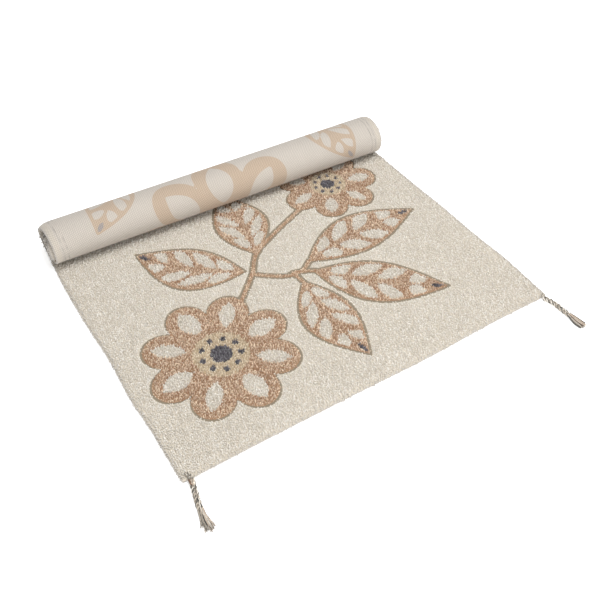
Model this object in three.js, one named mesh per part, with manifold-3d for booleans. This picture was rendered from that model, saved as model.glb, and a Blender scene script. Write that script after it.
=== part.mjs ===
// A tufted cotton rug for a child's room, lying on a floor with its far end rolled up over its pile.
// The pile is cream, with a sprig of blossoms and leaves in tan, and a line is carved round the sprig.
// A braided tassel is drawn through each of the two front corners.
// Millimetres, +Z up. The floor is z = 0, the rug's width runs along X and its length along Y.
// The origin is under the middle of the part that lies flat.

import * as THREE from "three";
import { mergeVertices } from "three/addons/utils/BufferGeometryUtils.js";
import Module from "manifold-3d";

const wasm = await Module();
wasm.setup();

// The rug as it was cut and bound.
const rugWidth = 1000;
const rugLength = 1500;
const rugThickness = 10;
const backingDepth = 2; // the woven backing keeps its length when the rug is rolled
const pileInset = 3; // the pile's rim leans in over the backing's edge
const cornerRadius = 16;

// How much of it lies flat. The roll is a little askew, so the left side lies flat for longer.
const flatLeft = 770;
const flatRight = 734;
const frontY = -375;

// The edges wander, as hand-bound edges do: how far each stands out from its straight line.
const leftRows = [
  { along: 0, out: -4.5 },
  { along: 170, out: -4.5 },
  { along: 250, out: -0.6 },
  { along: 375, out: -5 },
  { along: 550, out: -1.5 },
  { along: 690, out: -3.2 },
  { along: 800, out: -9 },
  { along: 880, out: -13 },
  { along: 1000, out: -10 },
  { along: 1150, out: -13 },
  { along: 1300, out: -8 },
  { along: 1500, out: -12 },
];
const rightRows = [
  { along: 0, out: 4 },
  { along: 75, out: 6.5 },
  { along: 150, out: 9.5 },
  { along: 270, out: 4.5 },
  { along: 410, out: 4.5 },
  { along: 520, out: 0.5 },
  { along: 690, out: -2.5 },
  { along: 800, out: -7 },
  { along: 960, out: -9 },
  { along: 1150, out: -12 },
  { along: 1300, out: -7 },
  { along: 1500, out: -11 },
];
const frontRows = [
  { across: 0, out: -4 },
  { across: 0.15, out: -4.7 },
  { across: 0.4, out: -3.4 },
  { across: 0.64, out: -0.4 },
  { across: 0.82, out: -4.7 },
  { across: 1, out: -3.6 },
];
const frontFade = 120; // the front edge's waver dies out this far into the rug

// The roll's outer face, as a radius for each quarter turn from the floor: back, top, front, floor.
const rollCentreZ = 59;
const rollSag = 1.08; // its own weight makes it wider than it is tall
const turnRows = [
  { turn: 0, radius: 59 },
  { turn: 0.25, radius: 58.5 },
  { turn: 0.5, radius: 54 },
  { turn: 0.75, radius: 52 },
  { turn: 1, radius: 48.4 },
  { turn: 1.25, radius: 47.5 },
  { turn: 1.5, radius: 36 },
  { turn: 1.75, radius: 39 },
  { turn: 2, radius: 37.3 },
  { turn: 2.25, radius: 36.5 },
  { turn: 2.5, radius: 24.5 },
  { turn: 2.75, radius: 26.5 },
  { turn: 3, radius: 26 },
  { turn: 3.25, radius: 25 },
];

// Each end of the roll is squeezed a little over its last stretch, as its bound edge draws in.
const shoulderWidth = 30;
const shoulderLeft = 0.085;
const shoulderRight = 0.03;
const shoulderTurns = 0.3; // it grows over this many turns from the floor

// The carved line round the sprig.
const carvedWidth = 7;
const carvedDepth = 4;
const carvedEnd = 718; // it is cut only where the rug lies flat, and the roll hides the rest
const stemWidth = 15;

// The sprig's leaves: where each starts, from the middle of the front edge, and its heading in degrees.
const leaves = [
  { x: -84, along: 470, heading: 136, length: 300, width: 150, bend: 22 },
  { x: -30, along: 512, heading: 84, length: 270, width: 146, bend: -12 },
  { x: 66, along: 418, heading: 4, length: 365, width: 142, bend: 14 },
  { x: 60, along: 384, heading: -41, length: 350, width: 144, bend: -12 },
  { x: 20, along: 366, heading: -89, length: 290, width: 136, bend: -14 },
];
const blossoms = [
  { x: -268, along: 262, radius: 186, petals: 8, turn: 10 },
  { x: 288, along: 660, radius: 144, petals: 7, turn: 38 },
];
const stems = [
  [[-268, 262], [-160, 372], [-78, 452], [-26, 516], [80, 572], [288, 660]],
  [[-78, 454], [-10, 404], [38, 398], [74, 420]],
  [[24, 402], [68, 380]],
  [[14, 404], [20, 358]],
];

// The tassels: the line on which each lies, from the rug's edge out, and how far its ends spread.
const tassels = [
  { name: "tassel_left", route: [[-475, -374], [-484, -413], [-490, -442], [-494.5, -497]], braid: 69, spread: 20 },
  { name: "tassel_right", route: [[491, -374.5], [499, -403], [501, -432], [505.5, -497]], braid: 75, spread: 17 },
];
const yarnRadius = 2.9;
const braidHalfWidth = 3.4;
const braidHalfHeight = 1.5;
const braidPeriod = 34;
const strandsInBraid = 3;
const locksInTuft = 16;
const lockRadius = 1.4;

// A smooth value at "at", between the rows of a table that names it.
function fromRows(rows, key, value, at) {
  const last = rows.length - 1;
  let i = 0;
  while (i < last - 1 && at > rows[i + 1][key]) i++;
  const span = rows[i + 1][key] - rows[i][key];
  const t = THREE.MathUtils.clamp((at - rows[i][key]) / span, 0, 1);
  const slope = (k) => {
    const a = rows[Math.max(k - 1, 0)];
    const b = rows[Math.min(k + 1, last)];
    return (b[value] - a[value]) / (b[key] - a[key]);
  };
  const t2 = t * t;
  const t3 = t2 * t;
  return (
    (2 * t3 - 3 * t2 + 1) * rows[i][value] +
    (t3 - 2 * t2 + t) * span * slope(i) +
    (3 * t2 - 2 * t3) * rows[i + 1][value] +
    (t3 - t2) * span * slope(i + 1)
  );
}

// The roll's outer face at a number of turns from the floor, measured from where the rug leaves it.
function rollFace(turns) {
  const angle = 2 * Math.PI * turns;
  const radius = fromRows(turnRows, "turn", "radius", turns);
  return new THREE.Vector2(
    rollSag * radius * Math.sin(angle),
    rollCentreZ - radius * Math.cos(angle),
  );
}

// The same with the direction into the rug, so that a point at any depth below the back can be found.
function rollPoint(turns, depth) {
  const step = 1e-4;
  const here = rollFace(turns);
  const way = rollFace(turns + step).sub(rollFace(Math.max(turns - step, 0))).normalize();
  return new THREE.Vector2(here.x - way.y * depth, here.y + way.x * depth);
}

// Turns for each distance along the backing, from one walk round the roll.
const walkSteps = 1400;
const mostTurns = 3.1;
const walked = [0];
for (let k = 1; k <= walkSteps; k++) {
  const a = rollPoint((mostTurns * (k - 1)) / walkSteps, backingDepth);
  const b = rollPoint((mostTurns * k) / walkSteps, backingDepth);
  walked.push(walked[k - 1] + a.distanceTo(b));
}

function turnsAt(distance) {
  let k = 1;
  while (k < walkSteps && walked[k] < distance) k++;
  const share = (distance - walked[k - 1]) / (walked[k] - walked[k - 1]);
  return (mostTurns * (k - 1 + share)) / walkSteps;
}

// How far the side edge is drawn in by the rounded front corners.
function cornerInset(along) {
  if (along >= cornerRadius) return 0;
  const rise = cornerRadius - along;
  return cornerRadius - Math.sqrt(cornerRadius * cornerRadius - rise * rise);
}

// How much smaller the roll is here, so near to one of its ends.
function endSqueeze(across, turns) {
  const most = across < 0.5 ? shoulderLeft : shoulderRight;
  const fromEnd = rugWidth * Math.min(across, 1 - across);
  const nearness = Math.max(0, 1 - fromEnd / shoulderWidth);
  return most * nearness * nearness * THREE.MathUtils.smoothstep(turns, 0, shoulderTurns);
}

// A point of the rug: across is 0 to 1 from its left edge, along is its distance from the front edge,
// and depth is 0 on the back and the full thickness on the pile.
function rugPoint(across, along, depth) {
  const inset = cornerInset(along) + (pileInset * depth) / rugThickness;
  const left = -rugWidth / 2 - fromRows(leftRows, "along", "out", along) + inset;
  const right = rugWidth / 2 + fromRows(rightRows, "along", "out", along) - inset;
  const x = THREE.MathUtils.lerp(left, right, across);
  const flat = THREE.MathUtils.lerp(flatLeft, flatRight, across);
  if (along <= flat) {
    const lean = (pileInset * depth) / rugThickness - fromRows(frontRows, "across", "out", across);
    return new THREE.Vector3(x, frontY + along + lean * Math.max(0, 1 - along / frontFade), depth);
  }
  const turns = turnsAt(along - flat);
  const p = rollPoint(turns, depth).multiplyScalar(1 - endSqueeze(across, turns));
  return new THREE.Vector3(x, frontY + flat + p.x, p.y);
}

// A closed solid between two grids of points that share their rims.
function slabGeometry(rows, columns, lower, upper) {
  const points = [];
  const faces = [];
  for (const pointAt of [lower, upper]) {
    for (let j = 0; j < rows; j++) for (let i = 0; i < columns; i++) points.push(pointAt(i, j));
  }
  const id = (side, i, j) => side * rows * columns + j * columns + i;
  const quad = (a, b, c, d) => faces.push(a, b, c, a, c, d);
  for (let j = 0; j < rows - 1; j++) {
    for (let i = 0; i < columns - 1; i++) {
      quad(id(0, i, j), id(0, i, j + 1), id(0, i + 1, j + 1), id(0, i + 1, j));
      quad(id(1, i, j), id(1, i + 1, j), id(1, i + 1, j + 1), id(1, i, j + 1));
    }
  }
  for (let i = 0; i < columns - 1; i++) {
    quad(id(0, i, 0), id(0, i + 1, 0), id(1, i + 1, 0), id(1, i, 0));
    quad(id(0, i + 1, rows - 1), id(0, i, rows - 1), id(1, i, rows - 1), id(1, i + 1, rows - 1));
  }
  for (let j = 0; j < rows - 1; j++) {
    quad(id(0, 0, j + 1), id(0, 0, j), id(1, 0, j), id(1, 0, j + 1));
    quad(id(0, columns - 1, j), id(0, columns - 1, j + 1), id(1, columns - 1, j + 1), id(1, columns - 1, j));
  }
  return new THREE.BufferGeometry().setFromPoints(points).setIndex(faces);
}

// A geometry as a solid, and a solid as a geometry.
function toSolid(geometry) {
  const bare = geometry.clone();
  for (const name of Object.keys(bare.attributes)) if (name !== "position") bare.deleteAttribute(name);
  const merged = mergeVertices(bare, 1e-4);
  const mesh = new wasm.Mesh({
    numProp: 3,
    vertProperties: merged.attributes.position.array,
    triVerts: new Uint32Array(merged.index.array),
  });
  return new wasm.Manifold(mesh);
}

function toGeometry(solid) {
  const { vertProperties, triVerts } = solid.getMesh();
  const geometry = new THREE.BufferGeometry();
  geometry.setAttribute("position", new THREE.BufferAttribute(vertProperties, 3));
  geometry.setIndex(new THREE.BufferAttribute(triVerts, 1));
  geometry.computeVertexNormals();
  return geometry;
}

function joined(solids) {
  return solids.reduce((whole, piece) => whole.add(piece));
}

// Half the width of a leaf, as a share of its widest, at a share of its length.
function leafHalf(share) {
  return Math.sin(Math.PI * share ** 0.93) ** 1.02;
}

// A leaf's outline on the rug, drawn "grow" larger or smaller all round.
function leafOutline(leaf, grow) {
  const steps = 11;
  const heading = THREE.MathUtils.degToRad(leaf.heading);
  const length = leaf.length + 2 * grow;
  const sides = [1, -1].map((side) =>
    Array.from({ length: steps }, (_, k) => {
      const share = (k + 0.35) / (steps - 0.3);
      const over = side * ((leafHalf(share) * leaf.width) / 2 + grow);
      const t = share * length - grow;
      const v = over + (leaf.bend * 4 * t * (leaf.length - t)) / leaf.length ** 2;
      return new THREE.Vector2(t, v).rotateAround(new THREE.Vector2(), heading);
    }),
  );
  const outline = [...sides[1], ...sides[0].reverse()];
  return outline.map((p) => p.add(new THREE.Vector2(leaf.x, leaf.along)));
}

// A blossom's scalloped outline.
function blossomOutline(blossom, grow) {
  const stepsPerPetal = 6;
  const count = stepsPerPetal * blossom.petals;
  const turn = THREE.MathUtils.degToRad(blossom.turn);
  return Array.from({ length: count }, (_, k) => {
    const angle = turn + (2 * Math.PI * k) / count;
    const lobe = Math.abs(Math.cos((blossom.petals * (angle - turn)) / 2));
    const radius = blossom.radius * (0.7 + 0.3 * lobe ** 0.62) + grow;
    return new THREE.Vector2(blossom.x + radius * Math.cos(angle), blossom.along + radius * Math.sin(angle));
  });
}

// A stem's outline, as a band along a smooth line.
function stemOutline(stops, grow) {
  const steps = 3 * (stops.length - 1);
  const line = new THREE.SplineCurve(stops.map(([x, along]) => new THREE.Vector2(x, along)));
  const half = stemWidth / 2 + grow;
  const side = (sign) =>
    Array.from({ length: steps + 1 }, (_, k) => {
      const way = line.getTangent(k / steps);
      return line.getPoint(k / steps).add(new THREE.Vector2(-way.y, way.x).multiplyScalar(sign * half));
    });
  return [...side(-1), ...side(1).reverse()];
}

// The whole sprig as one flat-sided block that stands in the pile, "grow" larger or smaller all round.
function sprigBlock(grow) {
  const outlines = [
    ...leaves.map((leaf) => leafOutline(leaf, grow)),
    ...blossoms.map((blossom) => blossomOutline(blossom, grow)),
    ...stems.map((stops) => stemOutline(stops, grow)),
  ];
  const blocks = outlines.map((outline) => {
    const shape = new THREE.Shape(outline);
    const block = new THREE.ExtrudeGeometry(shape, { depth: carvedDepth + 0.2, bevelEnabled: false });
    block.translate(0, frontY, rugThickness - carvedDepth);
    return toSolid(block);
  });
  return joined(blocks);
}

function carvedLine() {
  const line = sprigBlock(carvedWidth / 2).subtract(sprigBlock(-carvedWidth / 2));
  const kept = new THREE.BoxGeometry(rugWidth, carvedEnd, 4 * rugThickness);
  kept.translate(0, frontY + carvedEnd / 2, 0);
  return line.intersect(toSolid(kept));
}

// Distances along the rug where its surface has a row of points.
function rugStations(across) {
  const corner = [0, 1.5, 5, 10, cornerRadius];
  const flat = THREE.MathUtils.lerp(flatLeft, flatRight, across);
  const flatRows = 10;
  const rollRows = 60;
  const lying = Array.from({ length: flatRows }, (_, k) =>
    THREE.MathUtils.lerp(cornerRadius, flat, (k + 1) / flatRows),
  );
  const rolled = Array.from({ length: rollRows }, (_, k) =>
    THREE.MathUtils.lerp(flat, rugLength, (k + 1) / rollRows),
  );
  return [...corner, ...lying, ...rolled];
}

function rugGeometry() {
  const columns = [0, 0.007, 0.016, 0.03, 0.35, 0.65, 0.97, 0.984, 0.993, 1];
  const stations = columns.map((across) => rugStations(across));
  const side = (depth) => (i, j) => rugPoint(columns[i], stations[i][j], depth);
  const plain = toSolid(slabGeometry(stations[0].length, columns.length, side(0), side(rugThickness)));
  return toGeometry(plain.subtract(carvedLine()));
}

// A yarn of even thickness along a smooth line through points, with closed ends.
function yarnSolid(points, radius, sides, steps) {
  const line = new THREE.CatmullRomCurve3(points, false, "centripetal");
  const section = new THREE.Shape(
    Array.from({ length: sides }, (_, k) => {
      const angle = (2 * Math.PI * (k + 0.5)) / sides;
      return new THREE.Vector2(radius * Math.cos(angle), radius * Math.sin(angle));
    }),
  );
  return toSolid(new THREE.ExtrudeGeometry(section, { steps, extrudePath: line }));
}

// The line that a tassel follows on the floor, and a point beside it.
function tasselLine(tassel) {
  const stops = tassel.route.map(([x, y]) => new THREE.Vector3(x, y, 0));
  return new THREE.CatmullRomCurve3(stops, false, "centripetal");
}

function besideLine(line, distance, over, z) {
  const length = line.getLength();
  const share = THREE.MathUtils.clamp(distance / length, 0, 1);
  const way = line.getTangentAt(share);
  const at = line.getPointAt(share).addScaledVector(way, distance - share * length);
  return new THREE.Vector3(at.x - way.y * over, at.y + way.x * over, z);
}

function braidStrand(tassel, line, k) {
  const stepsPerPeriod = 9;
  const count = Math.round((stepsPerPeriod * tassel.braid) / braidPeriod);
  const middle = braidHalfHeight + yarnRadius + 0.1;
  const points = Array.from({ length: count + 1 }, (_, n) => {
    const distance = (tassel.braid * n) / count;
    const phase = 2 * Math.PI * (distance / braidPeriod + k / strandsInBraid);
    const over = braidHalfWidth * Math.sin(phase);
    return besideLine(line, distance, over, middle + braidHalfHeight * Math.sin(2 * phase));
  });
  return yarnSolid(points, yarnRadius, 6, count);
}

// One lock of the loose end: it starts in the braid, spreads, and comes to rest on the floor.
function tuftLock(tassel, line, k) {
  const fan = (2 * k) / (locksInTuft - 1) - 1;
  const layer = k % 3;
  const start = tassel.braid - 7;
  const end = line.getLength() - 5 * fan * fan - 2 * ((k * 5) % 3);
  const rows = [
    { part: 0, over: 3.2 * fan, z: 2.4 + 1.6 * layer },
    { part: 0.3, over: 4.2 * fan, z: 2.2 + 1.7 * layer },
    { part: 0.65, over: 0.36 * tassel.spread * fan, z: 1.8 + 1.5 * layer },
    { part: 1, over: 0.5 * tassel.spread * fan, z: 1.5 + 1.1 * layer },
  ];
  const points = rows.map((row) =>
    besideLine(line, THREE.MathUtils.lerp(start, end, row.part), row.over, row.z),
  );
  return yarnSolid(points, lockRadius, 4, 4);
}

// A yarn that lies over the rug's corner, from where it comes up through the pile to the braid's start.
function cornerYarn(line, k) {
  const radius = 1.7;
  const side = k - 1;
  const onPile = rugThickness + radius + 0.4;
  const reach = 14 + 3 * ((k + 1) % 2);
  const rows = [
    { distance: 7, over: 2 * side, z: 4.6 },
    { distance: 2.2, over: 2.4 * side, z: 8.6 },
    { distance: -1.2, over: 2.8 * side, z: onPile - 0.2 },
    { distance: -5, over: 2.9 * side, z: onPile + 0.3 },
    { distance: -reach, over: 3.2 * side, z: onPile },
  ];
  const points = rows.map((row) => besideLine(line, row.distance, row.over, row.z));
  return yarnSolid(points, radius, 5, 6);
}

function tasselGeometry(tassel) {
  const line = tasselLine(tassel);
  const strands = Array.from({ length: strandsInBraid }, (_, k) => braidStrand(tassel, line, k));
  const locks = Array.from({ length: locksInTuft }, (_, k) => tuftLock(tassel, line, k));
  const corner = [0, 1, 2].map((k) => cornerYarn(line, k));
  return toGeometry(joined([...strands, ...locks, ...corner]));
}

const creamPile = new THREE.MeshStandardMaterial({ color: 0xded5c7, roughness: 0.95, metalness: 0 });
const fleckedYarn = new THREE.MeshStandardMaterial({ color: 0xa79f92, roughness: 0.9, metalness: 0 });

function namedMesh(name, geometry, material) {
  const mesh = new THREE.Mesh(geometry, material);
  mesh.name = name;
  return mesh;
}

const rolledRug = new THREE.Group();
rolledRug.add(namedMesh("rug", rugGeometry(), creamPile));
for (const tassel of tassels) rolledRug.add(namedMesh(tassel.name, tasselGeometry(tassel), fleckedYarn));

export default rolledRug;
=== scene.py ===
"""A tufted cotton rug that lies flat at the front and is rolled up at the far end.

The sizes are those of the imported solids. The woven cloth is laid over them, the cut pile is stood
on it, the two corner tassels are plaited, and the whole is lit for a picture.
Lengths are in millimetres until a mesh is made, which is in metres.
"""

import math

import bpy
import numpy as np
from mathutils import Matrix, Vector


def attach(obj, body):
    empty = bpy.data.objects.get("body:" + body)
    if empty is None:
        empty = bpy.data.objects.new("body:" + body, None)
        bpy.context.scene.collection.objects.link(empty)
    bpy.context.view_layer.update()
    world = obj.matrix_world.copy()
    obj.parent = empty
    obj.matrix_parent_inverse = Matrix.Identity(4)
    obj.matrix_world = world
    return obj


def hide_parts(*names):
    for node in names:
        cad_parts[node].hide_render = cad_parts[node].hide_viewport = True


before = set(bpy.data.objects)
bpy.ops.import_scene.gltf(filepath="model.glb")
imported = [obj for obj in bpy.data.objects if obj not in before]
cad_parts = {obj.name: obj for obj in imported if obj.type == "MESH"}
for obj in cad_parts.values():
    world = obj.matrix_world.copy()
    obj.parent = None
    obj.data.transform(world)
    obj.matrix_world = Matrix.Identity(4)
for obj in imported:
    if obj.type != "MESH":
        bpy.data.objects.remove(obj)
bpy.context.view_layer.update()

MM = 0.001
rng = np.random.default_rng(11)

# The rug as it was cut and bound, and how much of it lies flat.
rug_width = 1000.0
rug_length = 1500.0
rug_thickness = 10.0
backing_depth = 2.0
pile_inset = 3.0
rim_inset = 1.8
corner_radius = 5.0
flat_left = 770.0
flat_right = 734.0
front_y = -375.0

# How far each edge stands out from its straight line, by the distance along it.
left_rows = [
    (0, -4.5), (170, -4.5), (250, -0.6), (375, -5), (550, -1.5), (690, -3.2), (790, -9), (880, -7),
    (930, -8), (980, -11), (1100, -11), (1190, -9), (1245, -18), (1283, -5), (1315, -4), (1350, -9),
    (1500, -9),
]
right_rows = [
    (0, 4), (75, 6.5), (150, 9.5), (270, 4.5), (410, 4.5), (520, 0.5),
    (690, -2.5), (800, -7), (960, -9), (1150, -12), (1300, -7), (1500, -11),
]
front_rows = [(0, -4), (0.15, -4.7), (0.4, -3.4), (0.64, -0.4), (0.82, -4.7), (1, -3.6)]
front_fade = 120.0

# The roll's outer face, as a radius at a number of turns from the floor.
roll_centre_z = 59.0
roll_sag = 1.08
turn_rows = [
    (0, 59), (0.25, 58.5), (0.5, 54), (0.75, 52), (1, 48.4), (1.25, 47.5), (1.5, 36), (1.75, 39),
    (2, 37.3), (2.25, 36.5), (2.5, 24.5), (2.75, 26.5), (3, 26), (3.25, 25),
]
# The roll narrows at both its ends, and on the left its inner turns are drawn further in.
shoulder_width = 30.0
shoulder_left = 0.085
shoulder_right = 0.03
shoulder_turns = 0.3
core_slack = 0.07
core_slack_width = 70.0
core_slack_turns = (0.95, 1.3)

# The cloth: its hem is folded under, so the back is a little hollow inside the hem.
hem_width = 18.0
hem_rise = 0.6
hem_stitch_line = 14.5
stitch_furrow = 0.45
stitch_spacing = 4.4
stitch_depth = 0.62
ground_depth = 5.4
edge_round = 2.2

# The pile. Its tufts stand in rows, with a closer line of them on the rim.
row_pitch = 4.05
tuft_pitch = 4.0
tuft_jitter = 0.9
tuft_height = 5.2
figure_rise = 1.3
carved_width = 6.0
carved_slope = 6.0
stem_width = 15.0
end_strip = 24.0
rim_start = 4.0
rim_pitch = 2.4
tuft_margin = 3.2
tuft_root = 0.9
edge_lean_width = 11.0
# Painted shade on the tufts in the slit between the roll's outer turn and the next, against 1 at the
# edges.
slit_painted_shade = 4.5

# Each pile yarn's darkest and lightest tone, and how far its tufts differ.
yarn_tones = {
    "cream": ((226, 217, 204), (255, 251, 244), 1.0),
    "tan": ((184, 143, 112), (253, 233, 208), 1.6),
    "sand": ((212, 190, 158), (250, 239, 218), 1.1),
    "charcoal": ((66, 63, 70), (150, 146, 152), 1.2),
}

# The sprig, placed from the middle of the front edge. A leaf has its x, its distance along the rug,
# its heading, length, width and bend. A blossom has its x, its distance along, its radius, its
# number of petals and its turn.
leaves = [
    (-84, 470, 136, 300, 150, 22),
    (-30, 512, 84, 270, 146, -12),
    (66, 418, 4, 365, 142, 14),
    (60, 384, -41, 350, 144, -12),
    (20, 366, -89, 290, 136, -14),
    (330, 800, 74, 230, 128, 18),
    (-262, 800, 118, 240, 128, -18),
]
blossoms = [
    (-268, 262, 186, 8, 10),
    (288, 660, 144, 7, 38),
    (-20, 1150, 268, 9, -90),
]
seeds_round = 9
stems = [
    [(-268, 262), (-160, 372), (-78, 452), (-26, 516), (80, 572), (288, 660)],
    [(-78, 454), (-10, 404), (38, 398), (74, 420)],
    [(24, 402), (68, 380)],
    [(14, 404), (20, 358)],
]

# The tassels: the line on which each lies, the braid's length, how far the stitches on the pile
# reach and drift, how far plain yarns cover the braid, and how far, how soon and how unevenly the
# loose ends spread.
# A lock of a loose end has its side from -1 to 1, its dyes, its number of threads, how much shorter
# than the tassel it is, and a 1 if it lies below the others.
tassels = [
    {
        "name": "tassel_left",
        "route": [(-475, -374), (-484, -413), (-490, -442), (-494.5, -497)],
        "braid": 69.0,
        "stitches": (14.0, -8.0),
        "bundle": 13.0,
        "locks": [
            (-0.95, "pale_grey mid_grey dark_grey", 9, 13, 0),
            (-0.42, "mid_grey pale_grey", 6, 5, 0),
            (-0.12, "dark_grey dark_grey mid_grey", 4, 4, 0),
            (0.1, "peach cream peach", 8, 1, 0),
            (0.38, "cream peach pale_grey", 9, 2, 0),
            (0.82, "peach cream brown", 11, 7, 0),
            (0.15, "mid_grey brown", 8, 0, 1),
            (0.78, "dark_grey mid_grey", 7, 2, 1),
            (-0.62, "pale_grey mid_grey", 9, 4, 1),
        ],
        "spread": 12.0,
        "opens": 1.05,
        "unruly": 1.0,
    },
    {
        "name": "tassel_right",
        "route": [(491, -374.5), (499, -403), (501, -432), (505.5, -497)],
        "braid": 75.0,
        "stitches": (6.0, 1.0),
        "bundle": 0.0,
        "locks": [
            (-1.0, "dark_grey dark_grey mid_grey", 12, 2, 0),
            (-0.55, "cream pale_grey", 10, 1, 0),
            (-0.15, "brown", 7, 2, 0),
            (0.2, "peach cream", 11, 0, 0),
            (0.62, "peach", 9, 2, 0),
            (0.97, "brown dark_grey", 9, 5, 0),
            (-0.3, "dark_grey", 9, 1, 1),
            (0.45, "pale_grey brown", 9, 0, 1),
        ],
        "spread": 10.0,
        "opens": 0.7,
        "unruly": 0.45,
    },
]
braid_half_width = 4.1
braid_half_height = 1.5
braid_period = 34.0
braid_middle_z = 4.9
ply_offset = 1.75
ply_radius = 1.5
bound_spread = 4.3


def linear(red, green, blue):
    """A colour for a shader, from its red, green and blue out of 255."""
    shares = [value / 255 for value in (red, green, blue)]
    return [s / 12.92 if s <= 0.04045 else ((s + 0.055) / 1.055) ** 2.4 for s in shares] + [1.0]


cream = linear(238, 231, 219)
tan = linear(216, 184, 154)
sand = linear(228, 209, 181)
charcoal = linear(108, 104, 109)
dyes = {
    "cream": cream,
    "peach": linear(226, 208, 188),
    "brown": linear(126, 100, 80),
    "pale_grey": linear(203, 192, 176),
    "mid_grey": linear(154, 143, 131),
    "dark_grey": linear(80, 78, 72),
}


# The rug's surface


def from_rows(rows, at):
    """A smooth value at "at", between rows of (key, value)."""
    keys, values = np.array(rows, float).T
    last = len(keys) - 1
    before = np.maximum(np.arange(last + 1) - 1, 0)
    after = np.minimum(np.arange(last + 1) + 1, last)
    slopes = (values[after] - values[before]) / (keys[after] - keys[before])
    i = np.clip(np.searchsorted(keys, at) - 1, 0, last - 1)
    span = keys[i + 1] - keys[i]
    t = np.clip((at - keys[i]) / span, 0, 1)
    return (
        (2 * t**3 - 3 * t**2 + 1) * values[i]
        + (t**3 - 2 * t**2 + t) * span * slopes[i]
        + (3 * t**2 - 2 * t**3) * values[i + 1]
        + (t**3 - t**2) * span * slopes[i + 1]
    )


def smooth_step(value, low, high):
    t = np.clip((value - low) / (high - low), 0, 1)
    return t * t * (3 - 2 * t)


def roll_face(turns):
    """The roll's outer face at a number of turns from the floor, as (y, z)."""
    angle = 2 * np.pi * turns
    radius = from_rows(turn_rows, turns)
    return np.stack([roll_sag * radius * np.sin(angle), roll_centre_z - radius * np.cos(angle)], -1)


def roll_point(turns, depth):
    """A point of the roll at a depth below its outer face, as (y, z)."""
    step = 1e-4
    here = roll_face(turns)
    way = roll_face(turns + step) - roll_face(np.maximum(turns - step, 0))
    way = way / np.linalg.norm(way, axis=-1, keepdims=True)
    inwards = np.stack([-way[..., 1], way[..., 0]], -1)
    return here + inwards * np.asarray(depth, float)[..., None]


walk_turns = np.linspace(0, 3.1, 1401)
walk_points = roll_point(walk_turns, np.full(walk_turns.shape, backing_depth))
walked = np.concatenate([[0], np.cumsum(np.linalg.norm(np.diff(walk_points, axis=0), axis=1))])


def flat_at(across):
    """How much of the rug lies flat, at a share of its width."""
    return flat_left + (flat_right - flat_left) * across


def rug_point(across, along, depth):
    """A point of the rug: across is 0 to 1 from the left edge, along is from the front edge, depth
    is from the woven back."""
    across, along, depth = (np.asarray(v, float) for v in np.broadcast_arrays(across, along, depth))
    rise = np.clip(corner_radius - along, 0, corner_radius)
    corner_inset = corner_radius - np.sqrt(corner_radius**2 - rise**2)
    inset = corner_inset + pile_inset * depth / rug_thickness
    left = -rug_width / 2 - from_rows(left_rows, along) + inset + rim_inset
    right = rug_width / 2 + from_rows(right_rows, along) - inset - rim_inset
    x = left + (right - left) * across
    flat = flat_at(across)
    lean = pile_inset * depth / rug_thickness - from_rows(front_rows, across) + rim_inset
    lying_y = front_y + along + lean * np.maximum(0, 1 - along / front_fade)
    turns = np.interp(along - flat, walked, walk_turns)
    most = np.where(across < 0.5, shoulder_left, shoulder_right)
    nearness = np.maximum(0, 1 - side_distance(across) / shoulder_width)
    keep = 1 - most * nearness**2 * smooth_step(turns, 0, shoulder_turns)
    loose = np.maximum(0, 1 - rug_width * across / core_slack_width)
    keep = keep - core_slack * loose * smooth_step(turns, *core_slack_turns)
    rolled = roll_point(turns, depth) * keep[..., None]
    on_roll = along > flat
    y = np.where(on_roll, front_y + flat + rolled[..., 0], lying_y)
    return np.stack([x, y, np.where(on_roll, rolled[..., 1], depth)], -1)


def side_distance(across):
    """How far a point of the cloth is from the nearer long edge."""
    return rug_width * np.minimum(across, 1 - across)


def edge_distance(across, along):
    """How far a point of the cloth is from the nearest of its four edges."""
    return np.minimum(side_distance(across), np.minimum(along, rug_length - along))


def undulation(across, along):
    """The slow rise and fall of the pile, from -1 to 1."""
    x, s = across * 6.3, along / rug_width * 6.3
    waves = np.sin(3.1 * x + 1.3 * s) + np.sin(2.3 * s - 4.1 * x + 1) + np.sin(7.7 * x + 6.1 * s + 2)
    return waves / 3


# The sprig


def spline_through(stops, steps=14):
    """Points of a smooth line through all the stops."""
    stops = np.array(stops, float)
    ends = [2 * stops[:1] - stops[1:2], stops, 2 * stops[-1:] - stops[-2:-1]]
    p = np.concatenate(ends)
    t = np.linspace(0, 1, steps, endpoint=False)[:, None]
    line = [
        0.5 * (2 * b + (c - a) * t + (2 * a - 5 * b + 4 * c - d) * t**2 + (3 * b - a - 3 * c + d) * t**3)
        for a, b, c, d in zip(p[:-3], p[1:-2], p[2:-1], p[3:])
    ]
    return np.concatenate([*line, p[-2:-1]])


def band_distance(line, width, x, s):
    """The distance outside a band of that width along a line; negative inside."""
    nearest = np.full(x.shape, 1e6)
    for a, b in zip(line[:-1], line[1:]):
        way = b - a
        t = np.clip(((x - a[0]) * way[0] + (s - a[1]) * way[1]) / (way @ way), 0, 1)
        nearest = np.minimum(nearest, np.hypot(x - a[0] - t * way[0], s - a[1] - t * way[1]))
    return nearest - width / 2


def lens_distance(p, q, half_length, half_width):
    """The distance outside a pointed oval that lies along p; negative inside."""
    thickness = half_width * (1 - np.clip(np.abs(p) / half_length, 0, 1) ** 2)
    return np.abs(q) - thickness + np.maximum(np.abs(p) - half_length, 0)


def turned(p, q, angle):
    return p * math.cos(angle) + q * math.sin(angle), q * math.cos(angle) - p * math.sin(angle)


def leaf_half(share):
    """Half a leaf's width, as a share of its widest, at a share of its length."""
    return np.sin(np.pi * np.clip(share, 0, 1) ** 0.93) ** 1.02


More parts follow.
